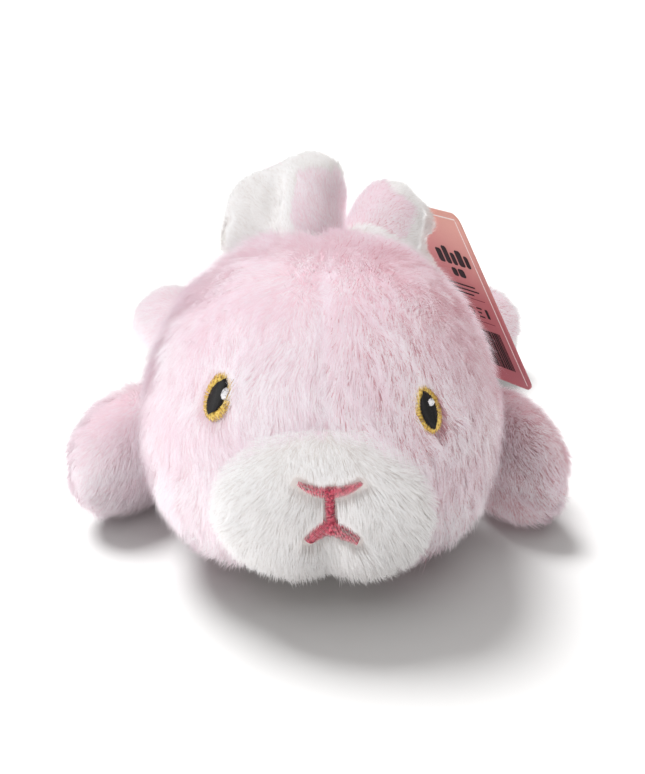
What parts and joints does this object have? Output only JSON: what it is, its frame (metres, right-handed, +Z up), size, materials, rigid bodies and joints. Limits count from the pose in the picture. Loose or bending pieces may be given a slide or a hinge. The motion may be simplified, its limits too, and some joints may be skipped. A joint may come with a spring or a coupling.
{
  "type": "stuffed toy rabbit",
  "caption": "Plush rabbit lying on its belly with short plump ears, a puffy white muzzle, embroidered eyes and nose, spread paws, a round tail and a card hang tag.",
  "frame": {"origin": "on the floor at the middle of the belly's flat rest face", "axes": "+Z up, the rabbit faces -Y, its left side is +X, +Y points to the tail"},
  "size_m": [0.146, 0.2097, 0.1053],
  "materials": {
    "pink_plush": "matte",
    "white_plush": "matte",
    "polyester_filling": "matte",
    "bean_pouch_cloth": "matte",
    "gold_thread": "satin",
    "black_thread": "satin",
    "white_thread": "satin",
    "rose_thread": "satin",
    "printed_card": "satin",
    "clear_plastic": "gloss",
    "label_satin": "satin"
  },
  "bodies": {
    "torso": {"back_left_panel": "pink_plush", "back_right_panel": "pink_plush", "bean_pouch": "bean_pouch_cloth", "belly_panel": "pink_plush", "sewn_label": "label_satin", "torso_stuffing": "polyester_filling"},
    "head": {"chin_panel": "white_plush", "head_back_panel": "pink_plush", "head_left_panel": "pink_plush", "head_right_panel": "pink_plush", "head_stuffing": "polyester_filling", "left_eye_highlight": "white_thread", "left_eye_pupil": "black_thread", "left_eye_ring": "gold_thread", "mouth_embroidery": "rose_thread", "muzzle_panel": "white_plush", "nose_embroidery": "rose_thread", "philtrum_embroidery": "rose_thread", "right_eye_highlight": "white_thread", "right_eye_pupil": "black_thread", "right_eye_ring": "gold_thread"},
    "right_ear": {"right_ear_lining": "white_plush", "right_ear_outer": "pink_plush", "right_ear_wadding": "polyester_filling"},
    "left_ear": {"left_ear_lining": "white_plush", "left_ear_outer": "pink_plush", "left_ear_wadding": "polyester_filling", "tag_fastener": "clear_plastic"},
    "tag": {"hang_tag": "printed_card"},
    "right_front_paw": {"right_front_paw_stuffing": "polyester_filling", "right_front_paw_top": "pink_plush", "right_front_paw_underside": "pink_plush"},
    "left_front_paw": {"left_front_paw_stuffing": "polyester_filling", "left_front_paw_top": "pink_plush", "left_front_paw_underside": "pink_plush"},
    "right_hind_foot": {"right_hind_foot_sole": "white_plush", "right_hind_foot_stuffing": "polyester_filling", "right_hind_foot_top": "pink_plush"},
    "left_hind_foot": {"left_hind_foot_sole": "white_plush", "left_hind_foot_stuffing": "polyester_filling", "left_hind_foot_top": "pink_plush"},
    "tail": {"tail_cover": "white_plush", "tail_stuffing": "polyester_filling"}
  },
  "joints": [
    {"name": "neck_nod", "type": "hinge", "parent": "torso", "child": "head", "pos_m": [0, -0.0485, 0.026], "axis": [-1, 0, 0], "range_deg": [0, 10]},
    {"name": "right_ear_fold", "type": "hinge", "parent": "head", "child": "right_ear", "pos_m": [-0.0035, -0.0605, 0.0805], "axis": [-1, 0, 0], "range_deg": [-8, 14]},
    {"name": "left_ear_fold", "type": "hinge", "parent": "head", "child": "left_ear", "pos_m": [0.0124, -0.0596, 0.0812], "axis": [-1, 0, 0], "range_deg": [-7, 4]},
    {"name": "tag_swing", "type": "hinge", "parent": "left_ear", "child": "tag", "pos_m": [0.0327, -0.0385, 0.0828], "axis": [-0.7824, -0.4691, -0.4095], "range_deg": [-6, 10]},
    {"name": "right_front_paw_spread", "type": "hinge", "parent": "torso", "child": "right_front_paw", "pos_m": [-0.0415, -0.04, 0.018], "axis": [0, 0, -1], "range_deg": [0, 22]},
    {"name": "right_hind_foot_spread", "type": "hinge", "parent": "torso", "child": "right_hind_foot", "pos_m": [-0.0465, 0.029, 0.015], "axis": [0, 0, 1], "range_deg": [-8, 15]},
    {"name": "left_front_paw_spread", "type": "hinge", "parent": "torso", "child": "left_front_paw", "pos_m": [0.0415, -0.0405, 0.018], "axis": [0, 0, 1], "range_deg": [0, 22]},
    {"name": "left_hind_foot_spread", "type": "hinge", "parent": "torso", "child": "left_hind_foot", "pos_m": [0.047, 0.028, 0.015], "axis": [0, 0, -1], "range_deg": [-8, 15]},
    {"name": "tail_wag", "type": "hinge", "parent": "torso", "child": "tail", "pos_m": [0, 0.0495, 0.026], "axis": [0, 0, 1], "range_deg": [-12, 12]}
  ]
}
